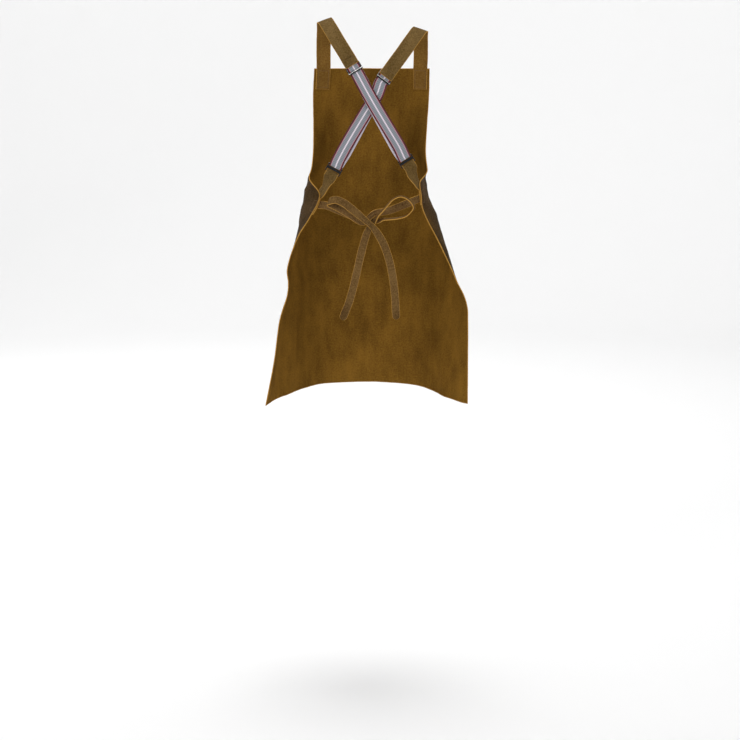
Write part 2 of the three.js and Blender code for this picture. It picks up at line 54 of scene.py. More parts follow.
# %% [markdown]
# ## Camera, floor and light
#
# The picture was taken from about four metres away and from shoulder height, so the lens is long and the
# lines hardly converge. The apron hangs as high above the floor as it is worn.
# A round floor that sweeps up into a wall all round has no horizon line from any side. Big area lamps and the
# light that the pale paper throws back give the soft, nearly shadowless light of a studio.
# The plain view transform keeps the colours as they are mixed below.

# %% Camera
CAMERA_PLACE = (-0.0045, -4.0, -0.031)
CAMERA_DOWN_DEGREES = 10.83
LENS_MM = 84.4
SENSOR_MM = 36.0

camera_data = bpy.data.cameras.new("camera")
camera_data.lens = LENS_MM
camera_data.sensor_width = SENSOR_MM
camera = bpy.data.objects.new("camera", camera_data)
camera.location = CAMERA_PLACE
camera.rotation_euler = (math.radians(90 - CAMERA_DOWN_DEGREES), 0, 0)
scene.collection.objects.link(camera)
scene.camera = camera
scene.view_settings.view_transform = "Standard"
print("camera looks down by", CAMERA_DOWN_DEGREES, "degrees through a lens of", LENS_MM, "mm")

# %% Floor and backdrop
FLOOR_Z = -1.515
FLOOR_RADIUS = 4.8
SWEEP_RADIUS = 1.6
WALL_TOP = 5.0
ROUND_STEPS = 96
SWEEP_STEPS = 16
PAPER_SHADE = (0.85, 0.85, 0.85, 1)
PAPER_ROUGHNESS = 0.9


def new_material(name):
    """A fresh material, its node tree and its main shader."""
    material = bpy.data.materials.new(name)
    material.use_nodes = True
    return material, material.node_tree, material.node_tree.nodes["Principled BSDF"]


profile = []
for step in range(SWEEP_STEPS + 1):
    angle = math.pi / 2 * step / SWEEP_STEPS
    rise = SWEEP_RADIUS * (1 - math.cos(angle))
    profile.append((FLOOR_RADIUS + SWEEP_RADIUS * math.sin(angle), FLOOR_Z + rise))
profile.append((FLOOR_RADIUS + SWEEP_RADIUS, WALL_TOP))
turns = [math.tau * k / ROUND_STEPS for k in range(ROUND_STEPS)]
floor_points = [(r * math.cos(a), r * math.sin(a), z) for r, z in profile for a in turns]
floor_faces = [tuple(range(ROUND_STEPS))]
for start in range(0, len(floor_points) - ROUND_STEPS, ROUND_STEPS):
    for k in range(ROUND_STEPS):
        here, beside = start + k, start + (k + 1) % ROUND_STEPS
        floor_faces.append((here, here + ROUND_STEPS, beside + ROUND_STEPS, beside))
floor_mesh = bpy.data.meshes.new("floor")
floor_mesh.from_pydata(floor_points, [], floor_faces)
floor_mesh.shade_smooth()
floor = bpy.data.objects.new("floor", floor_mesh)
scene.collection.objects.link(floor)

paper, _, paper_shader = new_material("pale paper")
paper_shader.inputs["Base Color"].default_value = PAPER_SHADE
paper_shader.inputs["Roughness"].default_value = PAPER_ROUGHNESS
floor_mesh.materials.append(paper)
print("floor lies", round(-FLOOR_Z, 3), "m below the shoulders")

# %% Lamps
def add_lamp(name, place, target, size, watts):
    """A square soft box that looks at a target point."""
    lamp_data = bpy.data.lights.new(name, "AREA")
    lamp_data.size = size
    lamp_data.energy = watts
    lamp = bpy.data.objects.new(name, lamp_data)
    lamp.location = place
    aim = Vector(target) - Vector(place)
    lamp.rotation_euler = aim.to_track_quat("-Z", "Y").to_euler()
    scene.collection.objects.link(lamp)


CHEST = (0, 0, -0.35)
BACK_WALL = (0, 5.0, -0.4)
# Each lamp: name, place, the point that it looks at, its size in metres and its watts.
LAMPS = [
    ("key", (-2.2, -3.6, 1.9), CHEST, 1.8, 70),
    ("fill", (2.6, -3.4, 0.9), CHEST, 2.2, 36),
    ("top", (0.0, -0.6, 2.8), CHEST, 2.4, 22),
    ("front", (-2.8, 3.0, 1.6), CHEST, 1.4, 50),
    ("backdrop", (0.0, 1.6, 3.8), BACK_WALL, 3.0, 165),
]
SKY_STRENGTH = 0.34

for lamp_row in LAMPS:
    add_lamp(*lamp_row)
world = bpy.data.worlds.new("studio")
scene.world = world
world.use_nodes = True
sky = world.node_tree.nodes["Background"]
sky.inputs["Color"].default_value = (1.0, 1.0, 1.0, 1)
sky.inputs["Strength"].default_value = SKY_STRENGTH
print(len(LAMPS), "lamps and a pale sky")

# %% [markdown]
# ## Reading the pieces back from the frame
#
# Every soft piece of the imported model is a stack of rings: four corners to a ring in a band, and a loop of
# points round both faces in the big sheet. If those rings are found again, a smooth surface can be laid
# through them, and it lies where the model says without any number being typed twice.
# A copy of the mesh is merged first, because the model comes as loose triangles. Then a walk goes from the
# first ring to the next: one point of each new ring has a single neighbour in the ring before, and once those
# two are paired, the point beside it has only one neighbour left to choose, and so on all the way round.

# %% Walk from ring to ring
MERGE = 2e-6


def merged_copy(node):
    """The node's mesh as a net of shared points."""
    net = bmesh.new()
    net.from_mesh(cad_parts[node].data)
    bmesh.ops.remove_doubles(net, verts=net.verts, dist=MERGE)
    return net


def neighbours(point):
    return [edge.other_vert(point) for edge in point.link_edges]


def walk_rings(first):
    """All rings of points, from the first one on, each in the order of the one before."""
    rings, seen = [list(first)], set(first)
    while True:
        place = {point: k for k, point in enumerate(rings[-1])}
        fresh = {other for point in place for other in neighbours(point) if other not in seen}
        if not fresh:
            return np.array([[point.co for point in ring] for ring in rings])
        free = {point: {place[other] for other in neighbours(point) if other in place} for point in fresh}
        after = {}
        while free:
            point = min(free, key=lambda one: len(free[one]))
            (k,) = free.pop(point)
            after[k] = point
            for choices in free.values():
                choices.discard(k)
        rings.append([after[k] for k in range(len(place))])
        seen |= fresh


# %% Read a band
# A point between a band's two ends has six edges, and one at an end has fewer.
EDGES_INSIDE = 6


def read_band(node, face_looks):
    """Middle line, ways across and out of the face, width and thickness, from the band's upper end on.

    face_looks is roughly the way in which the good side looks at that end."""
    net = merged_copy(node)
    ends = {point for point in net.verts if len(point.link_edges) < EDGES_INSIDE}
    top = max(ends, key=lambda point: point.co.z)
    ring = {top}
    while len(ring) < 4:
        ring |= {other for point in ring for other in neighbours(point) if other in ends}
    middle = sum((point.co for point in ring), Vector()) / 4
    onward = next(other for other in neighbours(top) if other not in ring).co - middle
    far = max(ring, key=lambda point: (point.co - top.co).length)
    sides = [point for point in ring if point not in (top, far)]
    long_way = max((point.co - top.co for point in sides), key=lambda way: way.length).normalized()
    face = onward.cross(long_way).normalized()
    if face.dot(Vector(face_looks)) < 0:
        face.negate()
    corner = {(way.dot(long_way) > 0, way.dot(face) > 0): point
              for point, way in ((point, point.co - middle) for point in ring)}
    first = [corner[key] for key in ((True, True), (False, True), (False, False), (True, False))]
    rings = walk_rings(first)
    net.free()
    across = (rings[:, 0] - rings[:, 1] + rings[:, 3] - rings[:, 2]) / 2
    out = (rings[:, 0] - rings[:, 3] + rings[:, 1] - rings[:, 2]) / 2
    width = np.linalg.norm(across, axis=1)
    thick = np.linalg.norm(out, axis=1)
    return {"middle": rings.mean(axis=1), "across": across / width[:, None], "out": out / thick[:, None],
            "width": width, "thick": float(np.median(thick))}


BACKWARDS = (0, -1, 0)
FORWARDS = (0, 1, 0)
bands = {}
for side in ("left", "right"):
    bands["shoulder_strap_" + side] = read_band("shoulder_strap_" + side, BACKWARDS)
    bands["back_webbing_" + side] = read_band("back_webbing_" + side, BACKWARDS)
    bands["side_tab_" + side] = read_band("side_tab_" + side, FORWARDS)
    bands["waist_tie_" + side] = read_band("waist_tie_" + side, BACKWARDS)
for node, band in bands.items():
    print(node, len(band["width"]), "rings, widest", round(band["width"].max() / MM, 1), "mm")

# %% Read the big sheet
TOP_RING_DEPTH = 0.01


def read_sheet(node):
    """The sheet's middle surface as a grid of levels and columns, its outward side and its thickness."""
    net = merged_copy(node)
    top = max(point.co.z for point in net.verts)
    rim = [point for point in net.verts if point.co.z > top - TOP_RING_DEPTH]
    rim.sort(key=lambda point: point.co.x)
    outside, inside = [], []
    while rim:
        one = rim.pop(0)
        other = min(rim, key=lambda point: (point.co - one.co).length)
        rim.remove(other)
        front, back = (one, other) if one.co.y > other.co.y else (other, one)
        outside.append(front)
        inside.append(back)
    rings = walk_rings(outside + inside[::-1])
    net.free()
    half = rings.shape[1] // 2
    grain, flesh = rings[:, :half], rings[:, :half - 1:-1]
    gap = np.linalg.norm(grain - flesh, axis=2)
    return {"middle": (grain + flesh) / 2, "out": (grain - flesh) / gap[..., None],
            "thick": float(np.median(gap))}


sheet = read_sheet("apron_panel")
print("sheet of", sheet["middle"].shape[:2], "places,", round(sheet["thick"] / MM, 2), "mm thick")

# %% [markdown]
# ## Smooth lines through the rings
#
# The rings lie eight to thirty millimetres apart, which is too coarse for leather. A cubic curve through
# them, with each slope taken from its neighbours, stays close to the model and never overshoots much.
# The same function serves widths, directions and whole rows of points, because it works on arrays.

# %% Cubic curve through known places
def unit(vectors):
    return vectors / np.linalg.norm(vectors, axis=-1, keepdims=True)


def walked(points):
    """Distance walked along a line of points."""
    steps = np.linalg.norm(np.diff(points, axis=0), axis=1)
    return np.concatenate([[0.0], np.cumsum(steps)])


def smooth_through(places, values, at):
    """Values at new places, on a smooth curve through the known ones."""
    places, values, at = np.asarray(places), np.asarray(values), np.asarray(at)
    shape = (-1,) + (1,) * (values.ndim - 1)
    slope = np.gradient(values, places, axis=0)
    i = np.clip(np.searchsorted(places, at, side="right") - 1, 0, len(places) - 2)
    span = (places[i + 1] - places[i]).reshape(shape)
    t = ((at - places[i]) / (places[i + 1] - places[i])).reshape(shape)
    ease = t * t * (3 - 2 * t)
    leave = t * (1 - t) ** 2 * slope[i] * span
    arrive = t * t * (t - 1) * slope[i + 1] * span
    return values[i] + (values[i + 1] - values[i]) * ease + leave + arrive


def ease_between(low, high, values):
    """Goes smoothly from 0 at low to 1 at high."""
    t = np.clip((np.asarray(values) - low) / (high - low), 0, 1)
    return t * t * (3 - 2 * t)


def wander(points, waves_per_metre, seed):
    """A smooth random height from -1 to 1 at each point."""
    shift = Vector((seed * 7.31, seed * 3.17, seed * 5.53))
    flat = np.asarray(points, float).reshape(-1, np.shape(points)[-1])
    heights = [noise.noise(Vector(point) * waves_per_metre + shift) for point in flat]
    return np.array(heights).reshape(np.shape(points)[:-1])


print("curves run through", sum(len(band["width"]) for band in bands.values()), "rings")

# %% [markdown]
# ## Finishes
#
# Oiled leather has a closed, slightly pebbled outer side with streaks where the oil has wandered, a napped
# inner side of loose fibres, and a raw edge that is paler than both. Three shader groups hold those
# effects, and each leather material places them with its own colours.
# A piece carries two masks for them: which side of the hide a point is on, and how near it is to a cut edge.
# The patterns run on a UV map in metres along and across the piece, so a pore has its true size.

# %% Small helpers for shader trees
def add_node(tree, kind, **settings):
    node = tree.nodes.new(kind)
    for name, value in settings.items():
        setattr(node, name, value)
    return node


def feed(tree, socket, value):
    """Joins a socket to another one, or sets it to a plain value."""
    if isinstance(value, bpy.types.NodeSocket):
        tree.links.new(value, socket)
    else:
        socket.default_value = value


def calculate(tree, operation, *values):
    node = add_node(tree, "ShaderNodeMath", operation=operation)
    for socket, value in zip(node.inputs, values):
        feed(tree, socket, value)
    return node.outputs[0]


def mix_colours(tree, share, first, second, blend="MIX"):
    node = add_node(tree, "ShaderNodeMix", data_type="RGBA", blend_type=blend)
    for index, value in ((0, share), (6, first), (7, second)):
        feed(tree, node.inputs[index], value)
    return node.outputs[2]


def mix_values(tree, share, first, second):
    node = add_node(tree, "ShaderNodeMix", data_type="FLOAT")
    for index, value in ((0, share), (2, first), (3, second)):
        feed(tree, node.inputs[index], value)
    return node.outputs[0]


def remap(tree, value, low, high, to_low, to_high):
    node = add_node(tree, "ShaderNodeMapRange", interpolation_type="SMOOTHSTEP")
    for socket, number in zip(node.inputs, (value, low, high, to_low, to_high)):
        feed(tree, socket, number)
    return node.outputs[0]


def noise_value(tree, vector, scale, detail=3.0, roughness=0.55):
    node = add_node(tree, "ShaderNodeTexNoise")
    feed(tree, node.inputs["Vector"], vector)
    feed(tree, node.inputs["Scale"], scale)
    feed(tree, node.inputs["Detail"], detail)
    feed(tree, node.inputs["Roughness"], roughness)
    return node.outputs["Fac"]


def stretch(tree, vector, across, along):
    """The same coordinates, scaled differently across and along the piece."""
    node = add_node(tree, "ShaderNodeVectorMath", operation="MULTIPLY")
    feed(tree, node.inputs[0], vector)
    feed(tree, node.inputs[1], (across, along, 1.0))
    return node.outputs[0]


def add_bump(tree, shader, height, strength, depth):
    """Small heights on the surface, which the shader gets as a bent normal."""
    bump = add_node(tree, "ShaderNodeBump")
    bump.inputs["Strength"].default_value = strength
    bump.inputs["Distance"].default_value = depth
    feed(tree, bump.inputs["Height"], height)
    feed(tree, shader.inputs["Normal"], bump.outputs["Normal"])


def new_group(name, inputs, outputs):
    """An empty shader group with named sockets, its way in and its way out."""
    group = bpy.data.node_groups.new(name, "ShaderNodeTree")
    for label, kind, value in inputs:
        socket = group.interface.new_socket(label, in_out="INPUT", socket_type="NodeSocket" + kind)
        if value is not None:
            socket.default_value = value
    for label in outputs:
        group.interface.new_socket(label, in_out="OUTPUT", socket_type="NodeSocketFloat")
    return group, group.nodes.new("NodeGroupInput").outputs, group.nodes.new("NodeGroupOutput").inputs


def place_group(tree, group, **values):
    """A group in a material, with sockets named by their labels in small letters."""
    node = add_node(tree, "ShaderNodeGroup", node_tree=group)
    for socket in node.inputs:
        key = socket.name.lower().replace(" ", "_")
        if key in values:
            feed(tree, socket, values[key])
    return node.outputs


print("shader helpers ready")

# %% Grain of the outer side
grain_group, given, result = new_group(
    "Leather grain",
    [("Vector", "Vector", None), ("Pores Per Metre", "Float", 1000.0), ("Mottles Per Metre", "Float", 250.0)],
    ["Height", "Tone", "Scuff"])
cells = add_node(grain_group, "ShaderNodeTexVoronoi", feature="SMOOTH_F1")
feed(grain_group, cells.inputs["Vector"], given["Vector"])
feed(grain_group, cells.inputs["Scale"], given["Pores Per Metre"])
feed(grain_group, cells.inputs["Smoothness"], 0.35)
pebble = remap(grain_group, cells.outputs["Distance"], 0.05, 0.75, 1.0, 0.0)
mottle = noise_value(grain_group, given["Vector"], given["Mottles Per Metre"], 4.0, 0.6)
feed(grain_group, result["Height"], mix_values(grain_group, 0.4, pebble, mottle))
pulled = noise_value(grain_group, stretch(grain_group, given["Vector"], 1.0, 0.4), 42.0, 5.0, 0.6)
blotch = noise_value(grain_group, given["Vector"], 14.0, 3.0, 0.5)
broad = mix_values(grain_group, 0.5, pulled, blotch)
tone = mix_values(grain_group, 0.45, broad, mottle)
feed(grain_group, result["Tone"], remap(grain_group, tone, 0.35, 0.65, 0.0, 1.0))
rubbed = noise_value(grain_group, stretch(grain_group, given["Vector"], 1.0, 0.5), 160.0, 6.0, 0.7)
feed(grain_group, result["Scuff"], remap(grain_group, rubbed, 0.56, 0.74, 0.0, 1.0))
print("group", grain_group.name)

# %% Nap of the inner side
nap_group, given, result = new_group(
    "Leather nap", [("Vector", "Vector", None), ("Fibres Per Metre", "Float", 1500.0)], ["Height", "Tone"])
combed = stretch(nap_group, given["Vector"], 1.0, 0.45)
fibres = noise_value(nap_group, combed, given["Fibres Per Metre"], 4.0, 0.7)
tufts = noise_value(nap_group, given["Vector"], 260.0, 5.0, 0.65)
feed(nap_group, result["Height"], mix_values(nap_group, 0.45, fibres, tufts))
stroked = noise_value(nap_group, stretch(nap_group, given["Vector"], 1.0, 0.35), 38.0, 4.0, 0.6)
cloudy = noise_value(nap_group, given["Vector"], 9.0, 3.0, 0.5)
tone = mix_values(nap_group, 0.45, mix_values(nap_group, 0.5, stroked, cloudy), tufts)
feed(nap_group, result["Tone"], remap(nap_group, tone, 0.35, 0.65, 0.0, 1.0))
print("group", nap_group.name)

# %% Raw cut edge
edge_group, given, result = new_group(
    "Cut edge", [("Vector", "Vector", None), ("Mask", "Float", 0.0)], ["Share", "Tone"])
ragged = noise_value(edge_group, given["Vector"], 420.0, 4.0, 0.65)
frayed = calculate(edge_group, "MULTIPLY_ADD", ragged, 0.5, -0.25)
near = calculate(edge_group, "ADD", given["Mask"], frayed)
feed(edge_group, result["Share"], remap(edge_group, near, 0.3, 0.75, 0.0, 1.0))
layers = noise_value(edge_group, given["Vector"], 800.0, 4.0, 0.6)
feed(edge_group, result["Tone"], remap(edge_group, layers, 0.3, 0.7, 0.0, 1.0))
print("group", edge_group.name)

# %% [markdown]
# A leather material mixes the outer and the inner side by the side mask and lays the raw edge over both.
# Each side has a darker and a lighter tone of one hide, so the colour never lies flat. The closed outer side
# shines a little where it has been rubbed, and the nap is dull.

# %% Leather materials
SCUFF_SHARE = 0.22
GRAIN_ROUGHNESS = (0.7, 0.52)
NAP_ROUGHNESS = 0.92
LEATHER_BUMP, LEATHER_DEPTH = 0.7, 0.35 * MM
LEATHER_SHINE = 0.018


def srgb(red, green, blue):
    """A colour given in display values from 0 to 255, as scene values."""
    shares = [value / 255 for value in (red, green, blue)]
    return tuple(v / 12.92 if v <= 0.04045 else ((v + 0.055) / 1.055) ** 2.4 for v in shares) + (1,)


def leather_material(name, grain, nap, edge, pores):
    """Leather whose grain, nap and edge are given as pairs of a darker and a lighter tone."""
    material, tree, shader = new_material(name)
    metres = add_node(tree, "ShaderNodeUVMap", uv_map="metres").outputs["UV"]
    inner = add_node(tree, "ShaderNodeAttribute", attribute_name="inner_side").outputs["Fac"]
    near_edge = add_node(tree, "ShaderNodeAttribute", attribute_name="cut_edge").outputs["Fac"]
    outer_look = place_group(tree, grain_group, vector=metres, pores_per_metre=pores)
    inner_look = place_group(tree, nap_group, vector=metres)
    edge_look = place_group(tree, edge_group, vector=metres, mask=near_edge)
    rubbed = calculate(tree, "MULTIPLY", outer_look["Scuff"], SCUFF_SHARE)
    outer_colour = mix_colours(tree, rubbed, mix_colours(tree, outer_look["Tone"], *grain), edge[0])
    inner_colour = mix_colours(tree, inner_look["Tone"], *nap)
    sides = mix_colours(tree, inner, outer_colour, inner_colour)
    edge_colour = mix_colours(tree, edge_look["Tone"], *edge)
    feed(tree, shader.inputs["Base Color"], mix_colours(tree, edge_look["Share"], sides, edge_colour))
    gloss = remap(tree, outer_look["Tone"], 0.0, 1.0, *GRAIN_ROUGHNESS)
    dull = calculate(tree, "MAXIMUM", inner, edge_look["Share"])
    feed(tree, shader.inputs["Roughness"], mix_values(tree, dull, gloss, NAP_ROUGHNESS))
    height = mix_values(tree, inner, outer_look["Height"], inner_look["Height"])
    add_bump(tree, shader, height, LEATHER_BUMP, LEATHER_DEPTH)
    shader.inputs["Specular IOR Level"].default_value = LEATHER_SHINE
    return material


RAW_EDGE = (srgb(150, 106, 42), srgb(206, 157, 80))
panel_leather = leather_material(
    "panel leather", grain=(srgb(44, 31, 11), srgb(78, 56, 25)),
    nap=(srgb(88, 61, 20), srgb(130, 93, 34)), edge=RAW_EDGE, pores=950.0)
strap_leather = leather_material(
    "strap leather", grain=(srgb(82, 63, 32), srgb(118, 94, 56)),
    nap=(srgb(94, 67, 28), srgb(132, 97, 46)), edge=RAW_EDGE, pores=1050.0)
tie_leather = leather_material(
    "tie leather", grain=(srgb(80, 58, 31), srgb(130, 99, 60)),
    nap=(srgb(75, 54, 29), srgb(121, 93, 54)), edge=RAW_EDGE, pores=1100.0)
print("leather:", ", ".join(m.name for m in (panel_leather, strap_leather, tie_leather)))

# %% [markdown]
# The elastic is woven in lengthwise stripes, so its stripe colour depends only on how far a point lies from
# the middle line. The front is grey with a pale middle stripe and dark red edges, and the reverse is pale
# with thin grey lines. A small rule of waves across and along gives the ribs that the weave has, and the low
# parts of the ribs are darkened towards near-black as painted shade.

# %% Woven elastic
WEBBING_HALF = bands["back_webbing_left"]["width"].max() / 2
RIB_PITCH = 1.15 * MM
CORD_PITCH = 1.0 * MM
RIBS_A_PULL = 3
ELASTIC_BUMP, ELASTIC_DEPTH = 0.6, 0.3 * MM
# Near-black painted shade for the low parts of the ribs.
PAINTED_SHADE_IN_WEAVE = (0.02, 0.02, 0.024, 1)

weave_group, given, result = new_group(
    "Weave",
    [("Vector", "Vector", None), ("Rib Pitch", "Float", RIB_PITCH), ("Cord Pitch", "Float", CORD_PITCH)],
    ["Height", "Tone"])
apart = add_node(weave_group, "ShaderNodeSeparateXYZ")
feed(weave_group, apart.inputs[0], given["Vector"])
cords_across = calculate(weave_group, "DIVIDE", apart.outputs["X"], given["Cord Pitch"])
cord_wave = calculate(weave_group, "COSINE", calculate(weave_group, "MULTIPLY", cords_across, math.pi))
ribs_along = calculate(weave_group, "DIVIDE", apart.outputs["Y"], given["Rib Pitch"])
turn_along = calculate(weave_group, "MULTIPLY", ribs_along, math.tau)
cord_sign = calculate(weave_group, "SIGN", cord_wave)
swing = calculate(weave_group, "MULTIPLY_ADD", cord_sign, math.pi / 4, turn_along)
rib_wave = calculate(weave_group, "SINE", swing)
rise = calculate(weave_group, "MULTIPLY", calculate(weave_group, "MULTIPLY_ADD", rib_wave, 0.5, 0.5),
                 calculate(weave_group, "ABSOLUTE", cord_wave))
feed(weave_group, result["Height"], rise)
yarn = noise_value(weave_group, stretch(weave_group, given["Vector"], 1.0, 0.3), 900.0, 3.0, 0.6)
tension = calculate(weave_group, "MULTIPLY_ADD", calculate(weave_group, "SINE", calculate(
    weave_group, "MULTIPLY", ribs_along, math.tau / RIBS_A_PULL)), 0.5, 0.5)
fine_tone = mix_values(weave_group, 0.5, rise, yarn)
feed(weave_group, result["Tone"], mix_values(weave_group, 0.45, fine_tone, tension))


def stripe_ramp(tree, place, stripes):
    """Colours by distance from the middle line: rows of a share of the half width and a colour."""
    node = add_node(tree, "ShaderNodeValToRGB")
    ramp = node.color_ramp
    ramp.elements[0].position, ramp.elements[0].color = stripes[0]
    ramp.elements[1].position, ramp.elements[1].color = stripes[-1]
    for position, colour in stripes[1:-1]:
        ramp.elements.new(position).color = colour
    feed(tree, node.inputs["Fac"], place)
    return node.outputs["Color"]


GREY, PALE, PINK = srgb(141, 146, 154), srgb(240, 228, 238), srgb(206, 156, 166)
DARK_RED, NEAR_BLACK = srgb(104, 26, 38), srgb(44, 18, 24)
FRONT_STRIPES = [(0.0, PALE), (0.09, PALE), (0.12, GREY), (0.67, GREY), (0.69, PINK), (0.745, PINK),
                 (0.775, DARK_RED), (0.91, DARK_RED), (0.95, NEAR_BLACK), (1.0, NEAR_BLACK)]
LILAC, LINE = srgb(232, 222, 232), srgb(160, 158, 170)
REVERSE_STRIPES = [(0.0, LILAC), (0.30, LILAC), (0.33, LINE), (0.38, LINE), (0.41, LILAC), (0.66, LILAC),
                   (0.69, LINE), (0.74, LINE), (0.77, LILAC), (1.0, LILAC)]

elastic, tree, shader = new_material("woven elastic")
metres = add_node(tree, "ShaderNodeUVMap", uv_map="metres").outputs["UV"]
apart = add_node(tree, "ShaderNodeSeparateXYZ")
feed(tree, apart.inputs[0], metres)
from_middle = calculate(tree, "DIVIDE", calculate(tree, "ABSOLUTE", apart.outputs["X"]), WEBBING_HALF)
inner = add_node(tree, "ShaderNodeAttribute", attribute_name="inner_side").outputs["Fac"]
front_look, reverse_look = [stripe_ramp(tree, from_middle, rows) for rows in (FRONT_STRIPES, REVERSE_STRIPES)]
stripes = mix_colours(tree, inner, front_look, reverse_look)
woven = place_group(tree, weave_group, vector=metres, rib_pitch=RIB_PITCH, cord_pitch=CORD_PITCH)
# Painted shade: the colour goes towards near-black where the ribs are low; the yarn noise and pull rhythm are
# the weave's own tone.
shade = remap(tree, woven["Tone"], 0.0, 0.8, 0.45, 0.0)
feed(tree, shader.inputs["Base Color"], mix_colours(tree, shade, stripes, PAINTED_SHADE_IN_WEAVE))
feed(tree, shader.inputs["Roughness"], remap(tree, woven["Tone"], 0.0, 1.0, 0.95, 0.75))
add_bump(tree, shader, woven["Height"], ELASTIC_BUMP, ELASTIC_DEPTH)
print("elastic with", len(FRONT_STRIPES), "stripe marks in front and", len(REVERSE_STRIPES), "behind")

# %% [markdown]
# The fittings are steel with a black half-gloss finish. Fine rubbing makes the gloss uneven, which shows as
# soft breaks in the reflections. Along the upper edges a painted highlight of bright steel stands in for the
# reflection of the lamps above, and a mask on the pieces says where. On a slider's low bar a strip of the
# face carries the same painted highlight, and a measure up the plate says where that lies.
# The thread is a waxed brown yarn a little darker than the straps.

# %% Dark metal and thread
# A strip of painted highlight on a slider's low bar: its place up the plate and its soft border.
HIGHLIGHT_STRIP = (3.1 * MM, 4.3 * MM)
HIGHLIGHT_STRIP_BLUR = 0.3 * MM

dark_metal, tree, shader = new_material("black finish")
place = add_node(tree, "ShaderNodeTexCoord").outputs["Object"]
smear = noise_value(tree, place, 420.0, 4.0, 0.6)
scratch = noise_value(tree, stretch(tree, place, 1.0, 0.15), 1600.0, 3.0, 0.6)
highlight_edge_mask = add_node(tree, "ShaderNodeAttribute", attribute_name="rubbed_edge").outputs["Fac"]
up_the_plate = add_node(tree, "ShaderNodeAttribute", attribute_name="up_the_plate").outputs["Fac"]
# Painted highlight: the up-facing edges and the slider's strip are mixed towards bright steel.
highlight_strip_starts = remap(tree, up_the_plate, HIGHLIGHT_STRIP[0] - HIGHLIGHT_STRIP_BLUR, HIGHLIGHT_STRIP[0], 0.0, 1.0)
highlight_strip_ends = remap(tree, up_the_plate, HIGHLIGHT_STRIP[1], HIGHLIGHT_STRIP[1] + HIGHLIGHT_STRIP_BLUR, 1.0, 0.0)
painted_highlight = calculate(tree, "MAXIMUM", highlight_edge_mask, calculate(tree, "MULTIPLY", highlight_strip_starts, highlight_strip_ends))
painted_highlight_share = calculate(tree, "MULTIPLY", painted_highlight, remap(tree, smear, 0.3, 0.55, 0.6, 1.0))
finish = mix_colours(tree, remap(tree, smear, 0.5, 0.75, 0.0, 1.0), srgb(17, 17, 19), srgb(34, 33, 34))
# Where the painted highlight lies, the colour is bright steel and the metal is fuller.
feed(tree, shader.inputs["Base Color"], mix_colours(tree, painted_highlight_share, finish, srgb(214, 212, 210)))
feed(tree, shader.inputs["Roughness"], mix_values(tree, scratch, 0.24, 0.42))
feed(tree, shader.inputs["Metallic"], mix_values(tree, painted_highlight_share, 0.5, 1.0))

thread, tree, shader = new_material("waxed thread")
place = add_node(tree, "ShaderNodeTexCoord").outputs["Object"]
twist = noise_value(tree, place, 2200.0, 2.0, 0.5)
feed(tree, shader.inputs["Base Color"], mix_colours(tree, twist, srgb(74, 54, 32), srgb(120, 92, 58)))
feed(tree, shader.inputs["Roughness"], mix_values(tree, twist, 0.55, 0.8))
print("metal and thread ready")

# %% [markdown]
# ## The big sheet
#
# Bib and skirt are one hide. The model's grid is refined until a cell is about four millimetres wide.
# A worn hide is never quite smooth: it bends in long soft folds below the waist, has short creases where the
# ties pull on the waist corners, and rolls a little along the hem. These heights fade out towards the side
# edges, so that the outline stays where the frame has it.
# A cloth simulation could drape it too, but leather this stiff hardly moves under its own weight, and heights
# worked out from a short table are steadier.

# %% Fine grid of the sheet
COLUMN_SPLIT = 4
CELL_DOWN = 4.2 * MM

coarse = sheet["middle"]
levels = walked(coarse[:, coarse.shape[1] // 2])
columns = np.arange(coarse.shape[1], dtype=float)
fine_columns = np.linspace(0, columns[-1], (len(columns) - 1) * COLUMN_SPLIT + 1)
fine_levels = np.linspace(0, levels[-1], int(levels[-1] / CELL_DOWN) + 1)


def refine(grid):
    wide = smooth_through(columns, np.swapaxes(grid, 0, 1), fine_columns)
    return smooth_through(levels, np.swapaxes(wide, 0, 1), fine_levels)


middle = refine(coarse)
down_way = np.gradient(middle, axis=0)
along_way = np.gradient(middle, axis=1)
out = unit(np.cross(along_way, down_way))
out *= np.sign(np.sum(out * refine(sheet["out"]), axis=2, keepdims=True))

centre_column = middle.shape[1] // 2
steps = np.linalg.norm(np.diff(middle, axis=1), axis=2)
from_left = np.concatenate([np.zeros((len(middle), 1)), np.cumsum(steps, axis=1)], axis=1)
across_place = from_left - from_left[:, [centre_column]]
steps = np.linalg.norm(np.diff(middle, axis=0), axis=2)
down_place = np.concatenate([np.zeros((1, middle.shape[1])), np.cumsum(steps, axis=0)], axis=0)
to_side = np.minimum(from_left, from_left[:, [-1]] - from_left)
to_rim = np.minimum(to_side, np.minimum(down_place, down_place[[-1]] - down_place))
print("fine grid", middle.shape[:2], "widest level", round(from_left[:, -1].max(), 3), "m")

# %% Creases and soft rolls
# Each crease: side, distance from the side edge and depth below the bib's top where it starts, its slope
# in degrees below level, its length, its half width and its height, in millimetres.
CREASES = [
    (-1, 62, 300, 8, 150, 9, 1.9),
    (-1, 66, 322, 24, 170, 11, -1.8),
    (-1, 58, 350, 42, 190, 13, 2.2),
    (-1, 74, 276, -10, 110, 9, -1.4),
    (1, 60, 286, 6, 150, 9, 1.9),
    (1, 64, 310, 22, 175, 11, -1.9),
    (1, 58, 336, 40, 200, 13, 2.3),
    (1, 74, 262, -12, 110, 9, -1.4),
]
CREASE_START_WIDE = 0.6
CREASE_FULL = (0.3, 0.35)
FADE_FROM_SIDE = (8 * MM, 45 * MM)
UNDULATION, UNDULATIONS_PER_METRE, UNDULATION_STRETCH = 1.3 * MM, 13.0, 0.45
UNDULATION_BELOW_TOP = 0.15
ROLL, ROLLS_PER_METRE = 0.35 * MM, 55.0
HEM_ROLL, HEM_ROLLS_PER_METRE, HEM_ROLL_STRETCH = 2.2 * MM, 11.0, 0.3
HEM_ROLL_REACH = 0.14

